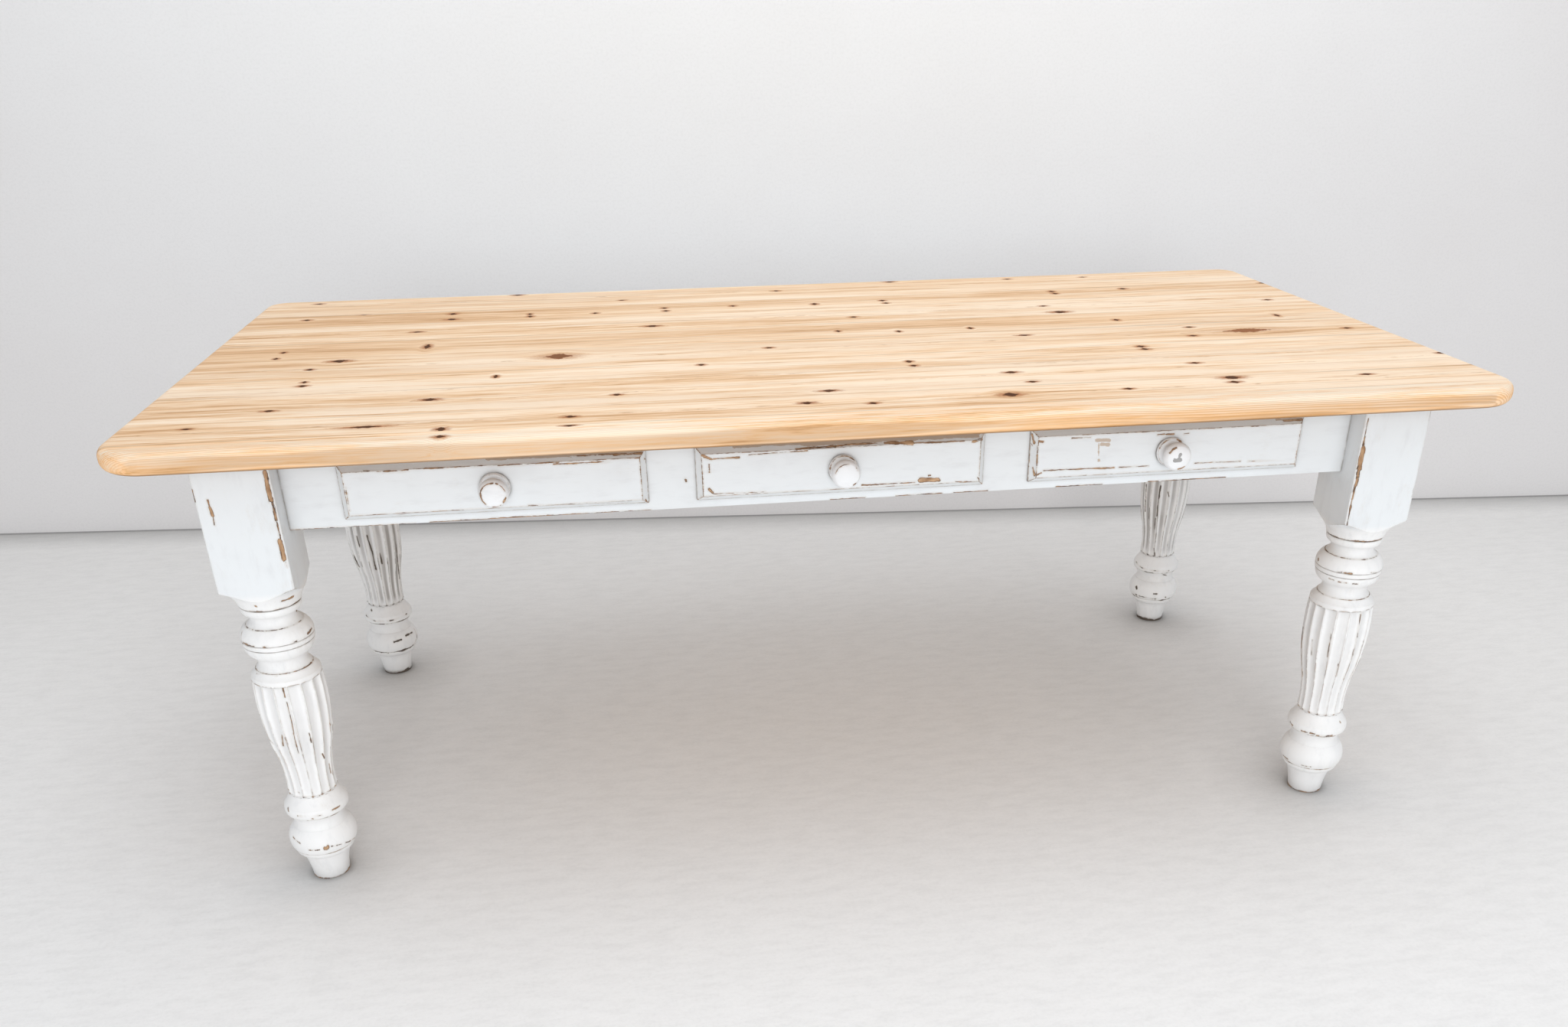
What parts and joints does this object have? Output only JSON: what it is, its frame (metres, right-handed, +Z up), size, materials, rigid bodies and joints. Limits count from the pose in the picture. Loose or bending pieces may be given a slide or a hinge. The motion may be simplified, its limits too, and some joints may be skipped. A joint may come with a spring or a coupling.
{
  "type": "kitchen table with drawers",
  "caption": "Rectangular farmhouse kitchen table with a bullnosed board top, turned and fluted legs, mortised aprons and lipped drawers with turned knobs along one side.",
  "frame": {"origin": "on the floor under the middle of the top", "axes": "+X along the length of the top, -Y out of the drawers, +Z up"},
  "size_m": [2.08, 1.09, 0.78],
  "materials": {
    "pine_top": "satin waxed pine",
    "painted_pine": "matt off-white paint, worn at the edges",
    "bare_pine": "bare pine",
    "screw_steel": "zinc plated"
  },
  "bodies": {
    "table": {"top_board_1": "pine_top", "top_board_2": "pine_top", "top_board_3": "pine_top", "top_board_4": "pine_top", "top_board_5": "pine_top", "top_board_6": "pine_top", "top_board_7": "pine_top", "top_board_8": "pine_top", "top_board_9": "pine_top", "leg_front_left": "painted_pine", "leg_front_right": "painted_pine", "leg_back_left": "painted_pine", "leg_back_right": "painted_pine", "front_bottom_rail": "painted_pine", "front_top_rail": "painted_pine", "back_apron": "painted_pine", "left_apron": "painted_pine", "right_apron": "painted_pine", "front_left_stile": "painted_pine", "front_left_muntin": "painted_pine", "front_right_muntin": "painted_pine", "front_right_stile": "painted_pine", "left_end_runner": "bare_pine", "left_end_guide": "bare_pine", "left_end_kicker": "bare_pine", "left_middle_runner": "bare_pine", "left_middle_guide": "bare_pine", "left_middle_kicker": "bare_pine", "right_middle_runner": "bare_pine", "right_middle_guide": "bare_pine", "right_middle_kicker": "bare_pine", "right_end_runner": "bare_pine", "right_end_guide": "bare_pine", "right_end_kicker": "bare_pine", "top_buttons": "bare_pine", "button_screws": "screw_steel"},
    "left_drawer": {"left_drawer_front": "painted_pine", "left_drawer_left_side": "bare_pine", "left_drawer_right_side": "bare_pine", "left_drawer_back": "bare_pine", "left_drawer_bottom": "bare_pine", "left_drawer_knob": "painted_pine"},
    "centre_drawer": {"centre_drawer_front": "painted_pine", "centre_drawer_left_side": "bare_pine", "centre_drawer_right_side": "bare_pine", "centre_drawer_back": "bare_pine", "centre_drawer_bottom": "bare_pine", "centre_drawer_knob": "painted_pine"},
    "right_drawer": {"right_drawer_front": "painted_pine", "right_drawer_left_side": "bare_pine", "right_drawer_right_side": "bare_pine", "right_drawer_back": "bare_pine", "right_drawer_bottom": "bare_pine", "right_drawer_knob": "painted_pine"}
  },
  "joints": [
    {"name": "left_drawer_slide", "type": "slide", "parent": "table", "child": "left_drawer", "axis": [0, -1, 0], "range_m": [0, 0.33]},
    {"name": "centre_drawer_slide", "type": "slide", "parent": "table", "child": "centre_drawer", "axis": [0, -1, 0], "range_m": [0, 0.33]},
    {"name": "right_drawer_slide", "type": "slide", "parent": "table", "child": "right_drawer", "axis": [0, -1, 0], "range_m": [0, 0.33]}
  ]
}
